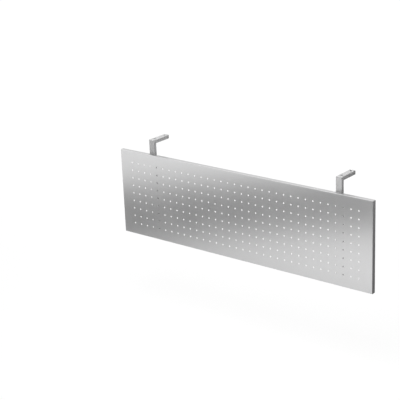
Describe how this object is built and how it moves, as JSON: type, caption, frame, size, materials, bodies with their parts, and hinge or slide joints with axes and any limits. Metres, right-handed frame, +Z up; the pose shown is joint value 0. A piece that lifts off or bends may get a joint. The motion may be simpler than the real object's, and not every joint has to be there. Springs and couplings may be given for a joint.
{
  "type": "desk privacy screen",
  "caption": "Wide perforated sheet-steel tray on L-shaped tube brackets that screw up under a desk top, screening the knee space.",
  "frame": {"origin": "middle of the four desk-screw holes, on the plane of the arms' top faces", "axes": "+X along the panel to the right as seen from the front, +Y to the rear along the arms, +Z up towards the desk top"},
  "size_m": [1.17, 0.109, 0.407],
  "materials": {
    "panel_silver": "satin silver metallic lacquer on steel sheet",
    "bracket_silver": "satin silver metallic lacquer on steel tube",
    "cap_grey": "fine-grained moulded plastic",
    "zinc_steel": "zinc-plated steel"
  },
  "bodies": {
    "root": {"perforated_panel": "panel_silver", "left_leg": "bracket_silver", "left_arm": "bracket_silver", "left_corner_weld": "bracket_silver", "left_leg_end_cap": "cap_grey", "left_arm_end_cap": "cap_grey", "left_upper_screw": "zinc_steel", "left_upper_washer": "zinc_steel", "left_upper_clinch_nut": "zinc_steel", "left_lower_screw": "zinc_steel", "left_lower_washer": "zinc_steel", "left_lower_clinch_nut": "zinc_steel", "right_leg": "bracket_silver", "right_arm": "bracket_silver", "right_corner_weld": "bracket_silver", "right_leg_end_cap": "cap_grey", "right_arm_end_cap": "cap_grey", "right_upper_screw": "zinc_steel", "right_upper_washer": "zinc_steel", "right_upper_clinch_nut": "zinc_steel", "right_lower_screw": "zinc_steel", "right_lower_washer": "zinc_steel", "right_lower_clinch_nut": "zinc_steel"}
  },
  "joints": []
}
